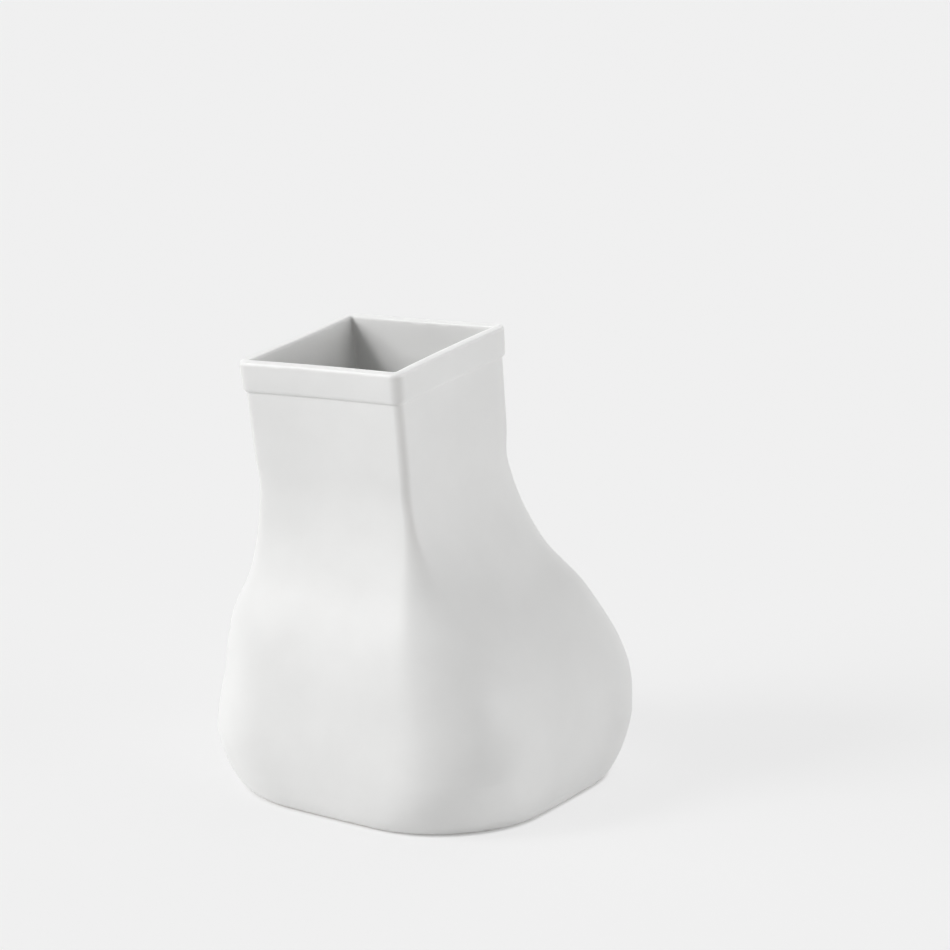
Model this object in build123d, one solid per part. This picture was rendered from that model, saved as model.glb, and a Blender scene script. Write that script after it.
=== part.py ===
"""Pillow vase: a leaning square neck on a soft, square belly, joined from slabs of white clay.

The foot stands on the XY plane with its middle at the origin. The flat sides of the belly face along X and Y.
The neck leans over the corner between the front (-Y) and the left (-X) side.
"""

from build123d import *

import os
from math import cos, radians, sin, tan

# Lengths are in millimetres and angles in degrees.

# Clay slabs
wall_thickness = 4.0
floor_thickness = 6.0
floor_bevel = 3.0
cut_overrun = 10.0

# Height of the widest section, and the rise from each main section to the next, on the middle line
belly_height = 30.0
hip_rise = 28.0
flank_rise = 32.0
shoulder_rise = 34.0
throat_rise = 36.0
neck_rise = 71.0

# Widths over the flat sides, between the ends of their curves
belly_width = 178.2
flank_width = 152.8
shoulder_width = 114.0
neck_width = 96.4

# How far each side turns in from the belly to the foot and to the hip
foot_turn = 7.7
hip_turn = 2.4

# How far each side of the neck draws in below the rim strips and at the throat
collar_draw = 0.2
throat_draw = 1.2

# Corner radii, large and soft up to the hip and crisp from the throat up
foot_corner = 66.0
belly_corner = 49.5
neck_corner = 5.0
least_inner_corner = 1.5

# How far the middle of each side stands out from its corners: the belly swells, the neck draws in
belly_bow = 2.4
neck_bow = -1.0

# Lean of the middle line towards the left front corner, and the tilt of the mouth
hip_lean = -0.3
flank_lean = 6.7
shoulder_lean = 14.9
throat_lean = 20.8
mouth_lean = 27.0
mouth_tilt = 5.2

# Rim strips pressed on round the mouth
strip_thickness = 1.8
strip_height = 16.0
strip_taper = 4.5
strip_step = 0.5
lip_bevel = 1.0

# Steps from section to section: round the foot, and up the side to the rim strips
foot_steps = 3
side_steps = 14

hip_height = belly_height + hip_rise
flank_height = hip_height + flank_rise
shoulder_height = flank_height + shoulder_rise
throat_height = shoulder_height + throat_rise
mouth_height = throat_height + neck_rise
foot_width = belly_width - 2 * foot_turn
hip_width = belly_width - 2 * hip_turn
collar_width = neck_width - 2 * collar_draw
throat_width = neck_width - 2 * throat_draw
lean_direction = Vector(-1, -1, 0).normalized()
tilt_axis = (1, -1, 0)
lean_plane = Plane(origin=(0, 0, 0), x_dir=(-1, -1, 0), z_dir=(-1, 1, 0))


def pillow_square(width, corner, bow):
    """A square with gently curved sides and rounded corners, as a face on the XY plane."""
    half = width / 2
    crest = half + bow
    corners = [(-half, -half), (half, -half), (half, half), (-half, half)]
    crests = [(0, -crest), (crest, 0), (0, crest), (-crest, 0)]
    ends = corners[1:] + corners[:1]
    sides = [ThreePointArc(*points) for points in zip(corners, crests, ends)]
    face = make_face(sides)
    return fillet(face.vertices(), corner)


def below_mouth(face, depth):
    """The face level with the tilted mouth, a depth below it."""
    mouth = Location(lean_direction * mouth_lean + Vector(0, 0, mouth_height), tilt_axis, mouth_tilt)
    return mouth * Pos(0, 0, -depth) * face


def side_line():
    """The line of the sides from the belly to the rim strips: X is half the width, Y the lean and Z the height."""
    tilt = radians(mouth_tilt)
    return Spline(
        (belly_width / 2, 0, belly_height),
        (hip_width / 2, hip_lean, hip_height),
        (flank_width / 2, flank_lean, flank_height),
        (shoulder_width / 2, shoulder_lean, shoulder_height),
        (throat_width / 2, throat_lean, throat_height),
        (collar_width / 2, mouth_lean - strip_height * sin(tilt), mouth_height - strip_height * cos(tilt)),
        tangents=[(0, 0, 1), (0, sin(tilt), cos(tilt))],
    )


def vase_form(inset, bottom):
    """The vase as a solid form, drawn in by an inset, from its bottom to an overrun past the mouth."""

    def square(width, corner, bow):
        return pillow_square(width - 2 * inset, max(corner - inset, least_inner_corner), bow)

    sections = []
    for step in range(foot_steps):
        turn = radians(90) * step / foot_steps
        height = bottom + (belly_height - bottom) * (1 - cos(turn))
        width = foot_width + (belly_width - foot_width) * sin(turn)
        corner = foot_corner + (belly_corner - foot_corner) * sin(turn)
        sections.append(Pos(0, 0, height) * square(width, corner, belly_bow))
    line = side_line()
    for step in range(side_steps + 1):
        half, lean, height = line @ (step / side_steps)
        rise = (height - belly_height) / ((line @ 1).Z - belly_height)
        drop = min(max(throat_height - height, 0) / (throat_height - hip_height), 1)
        softness = drop**2 * (3 - 2 * drop)
        corner = neck_corner + (belly_corner - neck_corner) * softness
        bow = belly_bow + (neck_bow - belly_bow) * rise
        place = Location(lean_direction * lean + Vector(0, 0, height), tilt_axis, mouth_tilt * rise)
        sections.append(place * square(2 * half, corner, bow))
    neck = square(neck_width, neck_corner, neck_bow)
    sections.append(below_mouth(neck, 0))
    sections.append(below_mouth(neck, -cut_overrun))
    return loft(sections)


def floor_slab():
    """A plate with a bevelled edge, wider on top, that lies in the turned-in feet of the walls."""
    top_width = foot_width - 2 * wall_thickness
    top_corner = foot_corner - wall_thickness
    top = pillow_square(top_width, top_corner, belly_bow)
    bottom = pillow_square(top_width - 2 * floor_bevel, top_corner - floor_bevel, belly_bow)
    return loft([bottom, Pos(0, 0, floor_thickness) * top], ruled=True)


def lip_bevel_space():
    """What the bevel of the inner lip takes away from the walls."""
    mouth_width = neck_width - 2 * wall_thickness
    mouth_corner = max(neck_corner - wall_thickness, least_inner_corner)
    top = pillow_square(mouth_width + 4 * lip_bevel, mouth_corner + 2 * lip_bevel, neck_bow)
    end = pillow_square(mouth_width - 2 * lip_bevel, mouth_corner, neck_bow)
    return loft([below_mouth(end, 2 * lip_bevel), below_mouth(top, -lip_bevel)], ruled=True)


def rim_band():
    """The outside of the four rim strips: tapered at the lower edge and bevelled at the outer lip."""
    full_width = neck_width + 2 * strip_thickness
    full_corner = neck_corner + strip_thickness
    top = pillow_square(full_width - 2 * lip_bevel, full_corner - lip_bevel, neck_bow)
    full = pillow_square(full_width, full_corner, neck_bow)
    lower_edge = pillow_square(collar_width + 2 * strip_step, neck_corner + strip_step, neck_bow)
    sections = [
        below_mouth(lower_edge, strip_height),
        below_mouth(full, strip_height - strip_taper),
        below_mouth(full, lip_bevel),
        below_mouth(top, 0),
    ]
    return loft(sections, ruled=True)


def quarter(leaning_side, left_side):
    """The space below the mouth between two neighbouring corner ridges, which meet at the middle line."""
    reach = belly_width if leaning_side else -belly_width
    mouth_line_end = mouth_height - (reach - mouth_lean) * tan(radians(mouth_tilt))
    middle_line = Spline(
        (0, -cut_overrun),
        (0, belly_height),
        (hip_lean, hip_height),
        (flank_lean, flank_height),
        (shoulder_lean, shoulder_height),
        (throat_lean, throat_height),
        (mouth_lean, mouth_height),
    )
    border = Polyline(
        (mouth_lean, mouth_height),
        (reach, mouth_line_end),
        (reach, -cut_overrun),
        (0, -cut_overrun),
    )
    region = lean_plane * make_face([middle_line, border])
    outward = lean_plane.z_dir if left_side else -lean_plane.z_dir
    return extrude(region, amount=belly_width, dir=outward)


def pieces():
    """Every piece of the vase by name."""
    form = vase_form(0, 0)
    hollow = vase_form(wall_thickness, floor_thickness)
    floor = floor_slab()
    bevel = lip_bevel_space()
    band = rim_band()
    quarters = {
        "front": quarter(True, False),
        "right": quarter(False, False),
        "back": quarter(False, True),
        "left": quarter(True, True),
    }
    named = {"floor_slab": floor}
    for side, space in quarters.items():
        named[side + "_wall"] = (form & space) - hollow - floor - bevel
        named[side + "_rim_strip"] = (band & space) - form
    return named


os.makedirs("parts", exist_ok=True)
for name, piece in pieces().items():
    export_step(piece, "parts/" + name + ".step")
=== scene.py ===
"""Pillow vase: a white glazed vase with a soft square belly and a square neck that leans over one corner."""

from math import cos, pi, radians, sin

import bmesh
import bpy
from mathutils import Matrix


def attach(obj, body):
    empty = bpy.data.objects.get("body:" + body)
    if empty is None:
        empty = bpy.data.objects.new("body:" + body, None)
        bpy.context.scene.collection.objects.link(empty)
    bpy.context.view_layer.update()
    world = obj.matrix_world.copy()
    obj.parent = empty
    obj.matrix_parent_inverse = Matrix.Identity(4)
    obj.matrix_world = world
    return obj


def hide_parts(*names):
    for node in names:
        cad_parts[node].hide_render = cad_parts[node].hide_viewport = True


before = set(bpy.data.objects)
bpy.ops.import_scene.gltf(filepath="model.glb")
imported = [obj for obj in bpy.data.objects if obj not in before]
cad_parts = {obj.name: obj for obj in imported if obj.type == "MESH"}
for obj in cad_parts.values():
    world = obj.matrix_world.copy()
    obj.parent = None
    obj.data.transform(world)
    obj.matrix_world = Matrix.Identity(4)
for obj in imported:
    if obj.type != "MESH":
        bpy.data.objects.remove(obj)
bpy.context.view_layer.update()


# Walls: four soft slabs of white stoneware, joined along the corner ridges and pressed out from inside. The
# ridges are crisp at the neck and fade in the belly, and the feet turn in round the floor. Dipped in a satin
# white glaze, and wiped bare where the vase stands.

MM = 0.001
wall = 4.0 * MM
belly_height, hip_height, throat_height, collar_depth = 30.0 * MM, 58.0 * MM, 160.0 * MM, 16.0 * MM
foot_half, belly_half, neck_half, collar_half = 81.4 * MM, 89.1 * MM, 48.2 * MM, 48.0 * MM
mouth_height, mouth_lean, mouth_tilt = 231.0 * MM, 27.0 * MM, radians(5.2)


def at_mouth(half, depth):
    """A station of a side line, square to the tilted mouth and a depth below it: half width, lean, height."""
    return half, mouth_lean - depth * sin(mouth_tilt), mouth_height - depth * cos(mouth_tilt)


def round_foot(bottom, inset):
    """The stations where the wall curves up from its foot, from flat to upright."""
    turns = [radians(degrees) for degrees in (0, 14, 30, 48, 68)]
    swell, rise = belly_half - foot_half, belly_height - bottom
    return [(foot_half + swell * sin(turn) - inset, 0.0, bottom + rise * (1 - cos(turn))) for turn in turns]


# Half the width, the lean towards the left front corner and the height, from the belly to the rim band.
upright = [
    (belly_half, 0.0, belly_height),
    (86.7 * MM, -0.3 * MM, hip_height),
    (76.4 * MM, 6.7 * MM, 90.0 * MM),
    (57.0 * MM, 14.9 * MM, 124.0 * MM),
    (47.0 * MM, 20.8 * MM, throat_height),
    (47.4 * MM, 22.5 * MM, 180.0 * MM),
    at_mouth(collar_half, collar_depth),
]
floor_top, lip_round = 6.0 * MM, 1.1 * MM
outside = round_foot(0.0, 0.0) + upright
lip = [
    at_mouth(neck_half, 0.0),
    at_mouth(neck_half - wall + 2.0 * lip_round, 0.0),
    at_mouth(neck_half - wall + 0.4 * lip_round, 0.35 * lip_round),
    at_mouth(neck_half - wall, 1.6 * lip_round),
]
inside = [(half - wall, lean, height) for half, lean, height in upright[::-1]]
inside += round_foot(floor_top, wall)[:0:-1]

# Each station also holds how far it lies inside the outer face. The seat's last value rounds its corners as the
# floor's are, and there the seat reaches nearly 1 mm into the floor, so that no gap shows.
floor_seat = [(77.1 * MM, 0.0, floor_top, -3.5 * MM), (74.1 * MM, 0.0, 0.05 * MM, 2.0 * MM)]
wall_line = [(*station, 0.0) for station in outside]
wall_line += [(*station, neck_half - station[0]) for station in lip]
wall_line += [(*station, wall) for station in inside]
wall_line += floor_seat


def add(tree, kind, inputs=(), **settings):
    """Adds a node with its settings, and links or sets its inputs, given in order or by name."""
    node = tree.nodes.new(kind)
    for name, value in settings.items():
        setattr(node, name, value)
    for socket, value in dict(inputs if isinstance(inputs, dict) else enumerate(inputs)).items():
        if isinstance(value, bpy.types.NodeSocket):
            tree.links.new(value, node.inputs[socket])
        elif value is not None:
            node.inputs[socket].default_value = value
    return node


def slab_skin_tree():
    """A skin of rounded, bowed squares strung along a side line.

    The line's X is half the width, Y the lean and Z the height. Its tilt holds how far each station lies inside
    the outer face, and rounds its corners less.
    """
    tree = bpy.data.node_groups.new("slab skin", "GeometryNodeTree")
    tree.interface.new_socket("Side Line", in_out="INPUT", socket_type="NodeSocketGeometry")
    for name in ("Side Steps", "Corner Steps"):
        tree.interface.new_socket(name, in_out="INPUT", socket_type="NodeSocketInt")
    for name in ("Belly Height", "Hip Height", "Throat Height", "Collar Height", "Mouth Height",
                 "Foot Corner", "Belly Corner", "Neck Corner", "Least Corner",
                 "Belly Bow", "Neck Bow", "Mouth Tilt", "Crisp Corner", "Soft Corner"):
        tree.interface.new_socket(name, in_out="INPUT", socket_type="NodeSocketFloat")
    tree.interface.new_socket("Glaze", in_out="INPUT", socket_type="NodeSocketMaterial")
    tree.interface.new_socket("Skin", in_out="OUTPUT", socket_type="NodeSocketGeometry")
    given = add(tree, "NodeGroupInput").outputs

    # One column of points for each step round the square, and one row for each point of the closed side line.
    line = add(tree, "GeometryNodeResampleCurve", {"Curve": given["Side Line"]}, mode="EVALUATED").outputs[0]
    rings = add(tree, "GeometryNodeAttributeDomainSize", [line], component="CURVE").outputs["Point Count"]
    rows = add(tree, "ShaderNodeMath", [rings, 1.0], operation="ADD").outputs[0]
    side_steps, corner_steps = given["Side Steps"], given["Corner Steps"]
    quarter = add(tree, "ShaderNodeMath", [side_steps, corner_steps], operation="ADD").outputs[0]
    columns = add(tree, "ShaderNodeMath", [quarter, 4.0, 1.0], operation="MULTIPLY_ADD").outputs[0]
    grid = add(tree, "GeometryNodeMeshGrid", {"Vertices X": columns, "Vertices Y": rows}).outputs["Mesh"]
    index = add(tree, "GeometryNodeInputIndex").outputs[0]
    row = add(tree, "ShaderNodeMath", [index, rows], operation="MODULO").outputs[0]
    ring = add(tree, "ShaderNodeMath", [row, rings], operation="MODULO").outputs[0]
    column = add(tree, "ShaderNodeMath", [index, rows], operation="DIVIDE").outputs[0]
    column = add(tree, "ShaderNodeMath", [column], operation="FLOOR").outputs[0]
    side = add(tree, "ShaderNodeMath", [column, quarter], operation="DIVIDE").outputs[0]
    side = add(tree, "ShaderNodeMath", [side], operation="FLOOR").outputs[0]
    step = add(tree, "ShaderNodeMath", [column, quarter], operation="MODULO").outputs[0]

    # The station of each row.
    place = add(tree, "GeometryNodeInputPosition").outputs[0]
    place = add(tree, "GeometryNodeSampleIndex", {"Geometry": line, "Value": place, "Index": ring},
                data_type="FLOAT_VECTOR", domain="POINT").outputs[0]
    inset = add(tree, "GeometryNodeInputCurveTilt").outputs[0]
    inset = add(tree, "GeometryNodeSampleIndex", {"Geometry": line, "Value": inset, "Index": ring},
                data_type="FLOAT", domain="POINT").outputs[0]
    half, lean, height = add(tree, "ShaderNodeSeparateXYZ", [place]).outputs

    # Corners are soft at the belly and crisp from the throat up.
    # Sides swell at the belly and draw in at the neck.
    belly, collar = given["Belly Height"], given["Collar Height"]
    soft = add(tree, "ShaderNodeMapRange", [height, given["Hip Height"], given["Throat Height"], 1.0, 0.0],
               interpolation_type="SMOOTHSTEP").outputs[0]
    corner = add(tree, "ShaderNodeMapRange",
                 [height, 0.0, belly, given["Foot Corner"], given["Belly Corner"]]).outputs[0]
    corner = add(tree, "ShaderNodeMapRange", [soft, 0.0, 1.0, given["Neck Corner"], corner]).outputs[0]
    corner = add(tree, "ShaderNodeMath", [corner, inset], operation="SUBTRACT").outputs[0]
    corner = add(tree, "ShaderNodeMath", [corner, given["Least Corner"]], operation="MAXIMUM").outputs[0]
    bow = add(tree, "ShaderNodeMapRange",
              [height, belly, collar, given["Belly Bow"], given["Neck Bow"]]).outputs[0]
    tilt = add(tree, "ShaderNodeMapRange", [height, belly, collar, 0.0, given["Mouth Tilt"]]).outputs[0]

    # One flat side and the round corner after it, then turned to its own side of the square.
    along = add(tree, "ShaderNodeMath", [step, side_steps], operation="DIVIDE", use_clamp=True).outputs[0]
    along = add(tree, "ShaderNodeMath", [along, 2.0, -1.0], operation="MULTIPLY_ADD").outputs[0]
    past = add(tree, "ShaderNodeMath", [step, side_steps], operation="SUBTRACT").outputs[0]
    past = add(tree, "ShaderNodeMath", [past, corner_steps], operation="DIVIDE", use_clamp=True).outputs[0]
    turn = add(tree, "ShaderNodeMath", [past, pi / 2], operation="MULTIPLY").outputs[0]
    flat = add(tree, "ShaderNodeMath", [half, corner], operation="SUBTRACT").outputs[0]
    out = add(tree, "ShaderNodeMath", [turn], operation="COSINE").outputs[0]
    out = add(tree, "ShaderNodeMath", [corner, out, flat], operation="MULTIPLY_ADD").outputs[0]
    across = add(tree, "ShaderNodeMath", [turn], operation="SINE").outputs[0]
    across = add(tree, "ShaderNodeMath", [corner, across], operation="MULTIPLY").outputs[0]
    across = add(tree, "ShaderNodeMath", [flat, along, across], operation="MULTIPLY_ADD").outputs[0]
    point = add(tree, "ShaderNodeCombineXYZ", [out, across, 0.0]).outputs[0]
    halves = add(tree, "ShaderNodeCombineXYZ", [half, half, 1.0]).outputs[0]
    share = add(tree, "ShaderNodeVectorMath", [point, halves], operation="DIVIDE").outputs[0]
    share_out, share_across, _ = add(tree, "ShaderNodeSeparateXYZ", [share]).outputs
    swap = add(tree, "ShaderNodeCombineXYZ", [share_across, share_out, 0.0]).outputs[0]
    swap = add(tree, "ShaderNodeVectorMath", [swap, swap], operation="MULTIPLY").outputs[0]
    swell = add(tree, "ShaderNodeVectorMath", [(1.0, 1.0, 0.0), swap], operation="SUBTRACT").outputs[0]
    swell = add(tree, "ShaderNodeVectorMath", [swell, share], operation="MULTIPLY").outputs[0]
    swell = add(tree, "ShaderNodeVectorMath", {"Vector": swell, "Scale": bow}, operation="SCALE").outputs[0]
    point = add(tree, "ShaderNodeVectorMath", [point, swell], operation="ADD").outputs[0]
    facing = add(tree, "ShaderNodeMath", [side, pi / 2], operation="MULTIPLY").outputs[0]
    point = add(tree, "ShaderNodeVectorRotate", {"Vector": point, "Angle": facing},
                rotation_type="Z_AXIS").outputs[0]

    # The square tilts with the mouth and moves along the lean.
    point = add(tree, "ShaderNodeVectorRotate", {"Vector": point, "Axis": (1.0, -1.0, 0.0), "Angle": tilt},
                rotation_type="AXIS_ANGLE").outputs[0]
    centre = add(tree, "ShaderNodeVectorMath", {"Vector": (-(0.5**0.5), -(0.5**0.5), 0.0), "Scale": lean},
                 operation="SCALE").outputs[0]
    lift = add(tree, "ShaderNodeCombineXYZ", [0.0, 0.0, height]).outputs[0]
    centre = add(tree, "ShaderNodeVectorMath", [centre, lift], operation="ADD").outputs[0]
    point = add(tree, "ShaderNodeVectorMath", [point, centre], operation="ADD").outputs[0]
    skin = add(tree, "GeometryNodeSetPosition", {"Geometry": grid, "Position": point}).outputs[0]

    # Where the glaze runs thin, along crisp ridges, and how far below the mouth it lies.
    middle = add(tree, "ShaderNodeMath", [past, 2.0, -1.0], operation="MULTIPLY_ADD").outputs[0]
    middle = add(tree, "ShaderNodeMath", [middle], operation="ABSOLUTE").outputs[0]
    middle = add(tree, "ShaderNodeMath", [1.0, middle], operation="SUBTRACT").outputs[0]
    crisp = add(tree, "ShaderNodeMapRange",
                [corner, given["Crisp Corner"], given["Soft Corner"], 1.0, 0.0]).outputs[0]
    edge = add(tree, "ShaderNodeMath", [middle, crisp], operation="MULTIPLY").outputs[0]
    skin = add(tree, "GeometryNodeStoreNamedAttribute",
               {"Geometry": skin, "Name": "thin_glaze", "Value": edge},
               data_type="FLOAT", domain="POINT").outputs[0]
    depth = add(tree, "ShaderNodeMath", [given["Mouth Height"], height], operation="SUBTRACT").outputs[0]
    skin = add(tree, "GeometryNodeStoreNamedAttribute",
               {"Geometry": skin, "Name": "mouth_depth", "Value": depth},
               data_type="FLOAT", domain="POINT").outputs[0]
    skin = add(tree, "GeometryNodeMergeByDistance", {"Geometry": skin, "Distance": 0.002 * MM}).outputs[0]
    skin = add(tree, "GeometryNodeSetShadeSmooth", {"Geometry": skin}).outputs[0]
    skin = add(tree, "GeometryNodeRealizeInstances", {"Geometry": skin}).outputs[0]
    skin = add(tree, "GeometryNodeSetMaterial", {"Geometry": skin, "Material": given["Glaze"]}).outputs[0]
    add(tree, "NodeGroupOutput", [skin])
    return tree


def linear(hex_colour):
    """An sRGB hex colour as linear RGBA."""
    parts = [int(hex_colour[i:i + 2], 16) / 255 for i in (1, 3, 5)]
    return (*[p / 12.92 if p <= 0.04045 else ((p + 0.055) / 1.055) ** 2.4 for p in parts], 1.0)


def satin_white_glaze():
    """Zirconium white glaze over stoneware, dipped and fired satin: soft broad highlights, a touch uneven.

    Below the glaze line the clay is wiped bare, and shows as matt, warmer and grainy.
    """
    material = bpy.data.materials.new("satin_white_glaze")
    material.use_nodes = True
    tree = material.node_tree
    shader = tree.nodes["Principled BSDF"]
    shader.inputs["IOR"].default_value = 1.5
    shader.inputs["Specular IOR Level"].default_value = 0.42
    place = add(tree, "ShaderNodeTexCoord").outputs["Object"]

    # The glaze pools and thins in clouds about 45 mm across, and thins along crisp ridges.
    cloud = add(tree, "ShaderNodeTexNoise",
                {"Vector": place, "Scale": 1 / (45.0 * MM), "Detail": 3.0}).outputs[0]
    pooled = add(tree, "ShaderNodeMapRange", [cloud, 0.3, 0.7, 0.0, 1.0]).outputs[0]
    colour = add(tree, "ShaderNodeMix", {0: pooled, 6: linear("#EDEDEC"), 7: linear("#F2F2F1")},
                 data_type="RGBA").outputs[2]
    thin = add(tree, "ShaderNodeAttribute", attribute_name="thin_glaze").outputs["Fac"]
    thin = add(tree, "ShaderNodeMath", [thin, 0.2], operation="MULTIPLY").outputs[0]
    colour = add(tree, "ShaderNodeMix", {0: thin, 6: colour, 7: linear("#E3E0DA")},
                 data_type="RGBA").outputs[2]

    # Along the lip the colour is painted whiter, a painted highlight where the upturned lip catches the light,
    # on a glossier bead of glaze. Its lower edge wavers between 1 and 2 mm below the mouth.
    waver = add(tree, "ShaderNodeTexNoise",
                {"Vector": place, "Scale": 1 / (9.0 * MM), "Detail": 2.0}).outputs[0]
    depth = add(tree, "ShaderNodeAttribute", attribute_name="mouth_depth").outputs["Fac"]
    depth = add(tree, "ShaderNodeMath", [waver, -2.0 * MM, depth], operation="MULTIPLY_ADD").outputs[0]
    bead_and_highlight = add(tree, "ShaderNodeMapRange", [depth, 0.0, 1.2 * MM, 1.0, 0.0],
               interpolation_type="SMOOTHSTEP").outputs[0]
    # Painted highlight: the lip's colour is mixed towards a brighter white.
    colour = add(tree, "ShaderNodeMix", {0: bead_and_highlight, 6: colour, 7: linear("#FCFCFB")},
                 data_type="RGBA").outputs[2]

    # The wiped glaze line wavers about 1.2 mm above the shelf. The clay's grains are 0.3 mm across, and are
    # drawn at 1 mm to show.
    grain = add(tree, "ShaderNodeTexNoise",
                {"Vector": place, "Scale": 1 / (1.0 * MM), "Detail": 2.0}).outputs[0]
    height = add(tree, "ShaderNodeSeparateXYZ", [place]).outputs["Z"]
    height = add(tree, "ShaderNodeMath", [waver, -1.6 * MM, height], operation="MULTIPLY_ADD").outputs[0]
    bare = add(tree, "ShaderNodeMapRange", [height, 0.2 * MM, 0.6 * MM, 1.0, 0.0]).outputs[0]
    clay = add(tree, "ShaderNodeMix", {0: grain, 6: linear("#D2CFC9"), 7: linear("#E4E2DD")},
               data_type="RGBA").outputs[2]
    colour = add(tree, "ShaderNodeMix", {0: bare, 6: colour, 7: clay}, data_type="RGBA").outputs[2]
    tree.links.new(colour, shader.inputs["Base Color"])

    # Satin where the glaze pools, glossier on the bead, drier where it is thin, and matt on the bare clay.
    rough = add(tree, "ShaderNodeMapRange", [pooled, 0.0, 1.0, 0.47, 0.39]).outputs[0]
    rough = add(tree, "ShaderNodeMix", {0: bead_and_highlight, 2: rough, 3: 0.3}, data_type="FLOAT").outputs[0]
    rough = add(tree, "ShaderNodeMix", {0: bare, 2: rough, 3: 0.86}, data_type="FLOAT").outputs[0]
    tree.links.new(rough, shader.inputs["Roughness"])

    # Unevenness left by the hands, about 40 mm across and a few tenths high, under the fine orange peel of the
    # glaze, whose ripples are under 1 mm and are drawn at 2.2 mm to show.
    hand = add(tree, "ShaderNodeTexNoise",
               {"Vector": place, "Scale": 1 / (40.0 * MM), "Detail": 1.5}).outputs[0]
    hand = add(tree, "ShaderNodeBump", {"Strength": 1.0, "Distance": 0.7 * MM, "Height": hand}).outputs[0]
    peel = add(tree, "ShaderNodeTexNoise",
               {"Vector": place, "Scale": 1 / (2.2 * MM), "Detail": 1.0}).outputs[0]
    peel = add(tree, "ShaderNodeMix", {0: bare, 2: peel, 3: grain}, data_type="FLOAT").outputs[0]
    relief = add(tree, "ShaderNodeBump",
                 {"Strength": 1.0, "Distance": 0.03 * MM, "Height": peel, "Normal": hand})
    tree.links.new(relief.outputs[0], shader.inputs["Normal"])
    return material


skin_tree = slab_skin_tree()
glaze = satin_white_glaze()


def slab_skin(name, side_line, creases):
    """One clay piece as a plain mesh, skinned along its closed side line, which turns sharply at creases."""
    line = bpy.data.curves.new(name + "_side_line", "CURVE")
    line.dimensions = "3D"
    line.resolution_u = 12
    spline = line.splines.new("BEZIER")
    spline.bezier_points.add(len(side_line) - 1)
    for point, (half, lean, height, inset) in zip(spline.bezier_points, side_line):
        point.co = (half, lean, height)
        point.tilt = inset
        point.handle_left_type = point.handle_right_type = "AUTO"
    for crease in creases:
        point = spline.bezier_points[crease]
        point.handle_left_type = point.handle_right_type = "VECTOR"
    spline.use_cyclic_u = True
    holder = bpy.data.objects.new(name + "_side_line", line)
    bpy.context.scene.collection.objects.link(holder)
    modifier = holder.modifiers.new("slab skin", "NODES")
    modifier.node_group = skin_tree
    sizes = {
        "Side Steps": 24,
        "Corner Steps": 12,
        "Belly Height": belly_height,
        "Hip Height": hip_height,
        "Throat Height": throat_height,
        "Collar Height": at_mouth(0.0, collar_depth)[2],
        "Mouth Height": mouth_height,
        "Foot Corner": 57.0 * MM,
        "Belly Corner": 43.0 * MM,
        "Neck Corner": 4.8 * MM,
        "Least Corner": 1.5 * MM,
        "Belly Bow": 2.4 * MM,
        "Neck Bow": -1.0 * MM,
        "Crisp Corner": 6.0 * MM,
        "Soft Corner": 16.0 * MM,
        "Mouth Tilt": mouth_tilt,
        "Glaze": glaze,
    }
    for socket in skin_tree.interface.items_tree:
        if socket.in_out == "INPUT" and socket.name in sizes:
            modifier[socket.identifier] = sizes[socket.name]
    depsgraph = bpy.context.evaluated_depsgraph_get()
    mesh = bpy.data.meshes.new_from_object(holder.evaluated_get(depsgraph))
    mesh.name = name
    bpy.data.objects.remove(holder)
    shell = bmesh.new()
    shell.from_mesh(mesh)
    bmesh.ops.recalc_face_normals(shell, faces=shell.faces)
    shell.to_mesh(mesh)
    shell.free()
    mesh.set_sharp_from_angle(angle=radians(50))
    piece = bpy.data.objects.new(name, mesh)
    bpy.context.scene.collection.objects.link(piece)
    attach(piece, "root")
    return piece


walls = slab_skin("clay_walls", wall_line, creases=(0, -2, -1))
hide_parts("front_wall", "right_wall", "back_wall", "left_wall")


# Rim band: four thin strips of the same clay, pressed on round the mouth and smoothed at the lower edge with
# a finger, so that a fine line stays under the band. The lip is rounded with a damp leather before the firing.

strip, strip_step, lip_edge = 1.8 * MM, 0.5 * MM, 1.7 * MM
band_half = neck_half + strip

# Half the width and the depth below the mouth, from the lower inner edge round to the top inner edge.
band_profile = [
    (collar_half - 0.2 * MM, collar_depth),
    (collar_half + strip_step, collar_depth),
    (collar_half + 2.0 * strip_step, collar_depth - 0.6 * MM),
    (band_half - 0.35 * MM, collar_depth - 4.0 * MM),
    (band_half - 0.1 * MM, collar_depth - 7.0 * MM),
    (band_half, 2.2 * lip_edge),
    (band_half - 0.03 * lip_edge, 0.9 * lip_edge),
    (band_half - 0.3 * lip_edge, 0.3 * lip_edge),
    (band_half - 0.9 * lip_edge, 0.03 * lip_edge),
    (neck_half, 0.0),
    (neck_half - 0.2 * MM, 1.0 * MM),
]
band_line = [(*at_mouth(half, depth), neck_half - half) for half, depth in band_profile]
band = slab_skin("rim_band", band_line, creases=(0, 1, -2, -1))
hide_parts("front_rim_strip", "right_rim_strip", "back_rim_strip", "left_rim_strip")


# Floor: a thicker slab of the same clay with a bevelled edge, laid in the turned-in feet of the walls. It is
# glazed inside, and wiped bare underneath so that it doesn't stick to the kiln shelf. It holds no mouth_depth,
# so the lip's glossier glaze covers its upper face, and so does the lip's painted highlight, a whiter colour.

floor_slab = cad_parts["floor_slab"]
floor_slab.data.materials.clear()
floor_slab.data.materials.append(glaze)


# Studio: a wide sheet of pale paper under large soft lights, the keys to the left of the front, a fill on the
# right and two behind. The eye and the gloss of the glaze see paper and room in one pale tone, and the paper
# keeps the shadow, deepest along the foot.

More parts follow.
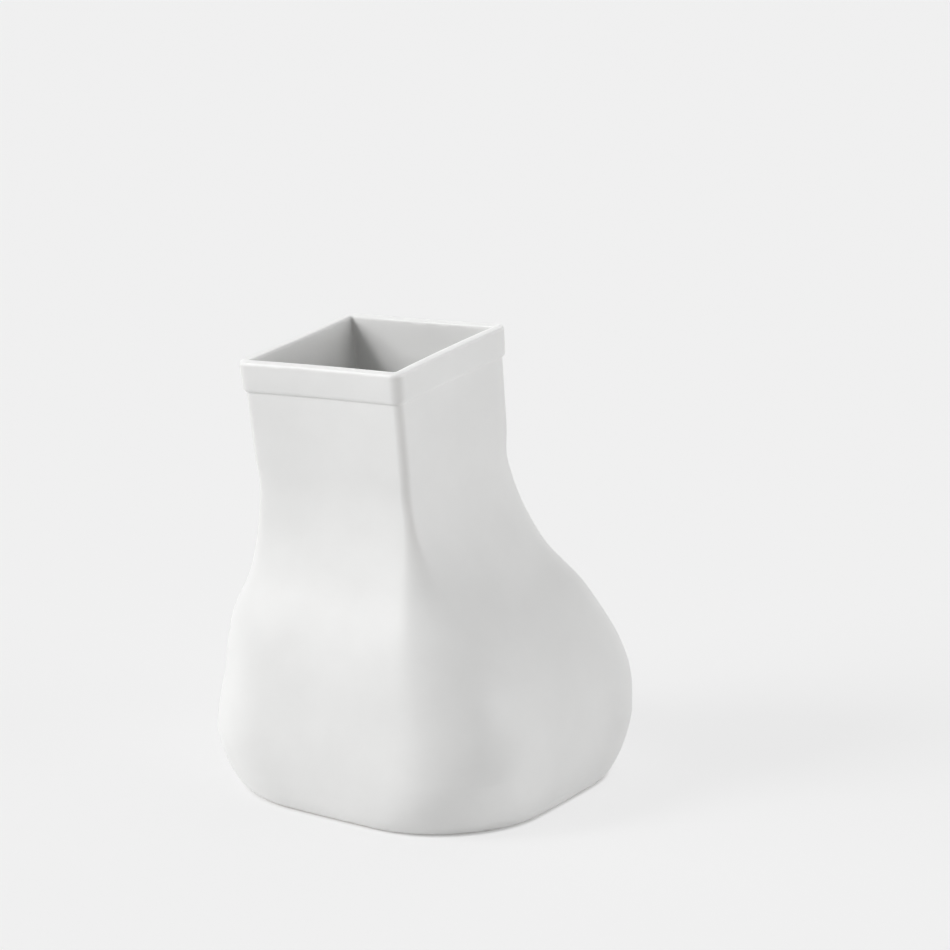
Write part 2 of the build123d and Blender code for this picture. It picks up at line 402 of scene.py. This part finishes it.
sweep_half = 8.0
sweep_corners = [(-sweep_half, -sweep_half, 0), (sweep_half, -sweep_half, 0), (sweep_half, sweep_half, 0),
                 (-sweep_half, sweep_half, 0)]
sweep_mesh = bpy.data.meshes.new("paper_sweep")
sweep_mesh.from_pydata(sweep_corners, [], [(0, 1, 2, 3)])
sweep = bpy.data.objects.new("paper_sweep", sweep_mesh)
bpy.context.scene.collection.objects.link(sweep)
backdrop = linear("#EFEFEF")


def seen_directly(tree):
    """One for what the camera, gloss or glass sees, and nothing for light that goes on to other surfaces."""
    paths = add(tree, "ShaderNodeLightPath").outputs
    seen = paths["Is Camera Ray"]
    for kind in ("Is Glossy Ray", "Is Transmission Ray"):
        seen = add(tree, "ShaderNodeMath", [seen, paths[kind]], operation="MAXIMUM").outputs[0]
    return seen


paper = bpy.data.materials.new("matt_white_paper")
paper.use_nodes = True
paper_tree = paper.node_tree
paper_shader = paper_tree.nodes["Principled BSDF"]
paper_shader.inputs["Base Color"].default_value = backdrop
paper_shader.inputs["Roughness"].default_value = 0.95
paper_shader.inputs["Specular IOR Level"].default_value = 0.0
paper_glow = add(paper_tree, "ShaderNodeEmission", {"Color": linear("#F6F6F6")}).outputs[0]

# To the eye the paper's tone is mostly even, and more of the true shadow shows in the last 2 mm by the foot.
beside_foot = add(paper_tree, "ShaderNodeAmbientOcclusion", {"Distance": 2.0 * MM}, samples=6).outputs["AO"]
glow_share = add(paper_tree, "ShaderNodeMapRange", [beside_foot, 0.3, 0.9, 0.35, 0.8]).outputs[0]
paper_seen = seen_directly(paper_tree)
glow_share = add(paper_tree, "ShaderNodeMath", [glow_share, paper_seen], operation="MULTIPLY").outputs[0]
paper_light = paper_shader.outputs[0]
paper_look = add(paper_tree, "ShaderNodeMixShader", [glow_share, paper_light, paper_glow]).outputs[0]
paper_tree.links.new(paper_look, paper_tree.nodes["Material Output"].inputs["Surface"])
sweep_mesh.materials.append(paper)

room = bpy.data.worlds.new("white_room")
room.use_nodes = True
room_light = room.node_tree.nodes["Background"]
room_light.inputs["Color"].default_value = (1.0, 1.0, 1.0, 1.0)
room_seen, room_strength = seen_directly(room.node_tree), 0.06
room_level = add(room.node_tree, "ShaderNodeMapRange", [room_seen, 0.0, 1.0, room_strength, backdrop[0]])
room.node_tree.links.new(room_level.outputs[0], room_light.inputs["Strength"])
bpy.context.scene.world = room

# Strength, direction that the light comes from (degrees round from the front, and up), and spread.
soft_lights = {
    "left_key": (0.42, -60, 30, 25),
    "front_key": (0.95, -32, 18, 25),
    "high_key": (1.12, -41, 40, 16),
    "side_fill": (1.8, 106, 6, 45),
    "back_light": (0.8, 180, 55, 60),
    "left_back_light": (0.25, -130, 20, 50),
}
for name, (strength, turn, rise, spread) in soft_lights.items():
    lamp = bpy.data.lights.new(name, "SUN")
    lamp.energy = strength
    lamp.angle = radians(spread)
    light = bpy.data.objects.new(name, lamp)
    light.rotation_euler = (radians(90 - rise), 0.0, radians(turn))
    bpy.context.scene.collection.objects.link(light)


# Camera: a long lens, to the right of the front and a little above the mouth.

picture_side, focal_pixels = 950, 3500
camera_data = bpy.data.cameras.new("camera")
camera_data.sensor_width = 36.0
camera_data.lens = focal_pixels / picture_side * camera_data.sensor_width
camera = bpy.data.objects.new("camera", camera_data)
camera_turn, camera_drop = 33.36, 15.55
camera.location = (0.96875, -1.42524, 0.63966)
camera.rotation_euler = (radians(90 - camera_drop), 0.0, radians(camera_turn))
bpy.context.scene.collection.objects.link(camera)
bpy.context.scene.camera = camera
bpy.context.scene.view_settings.view_transform = "Standard"
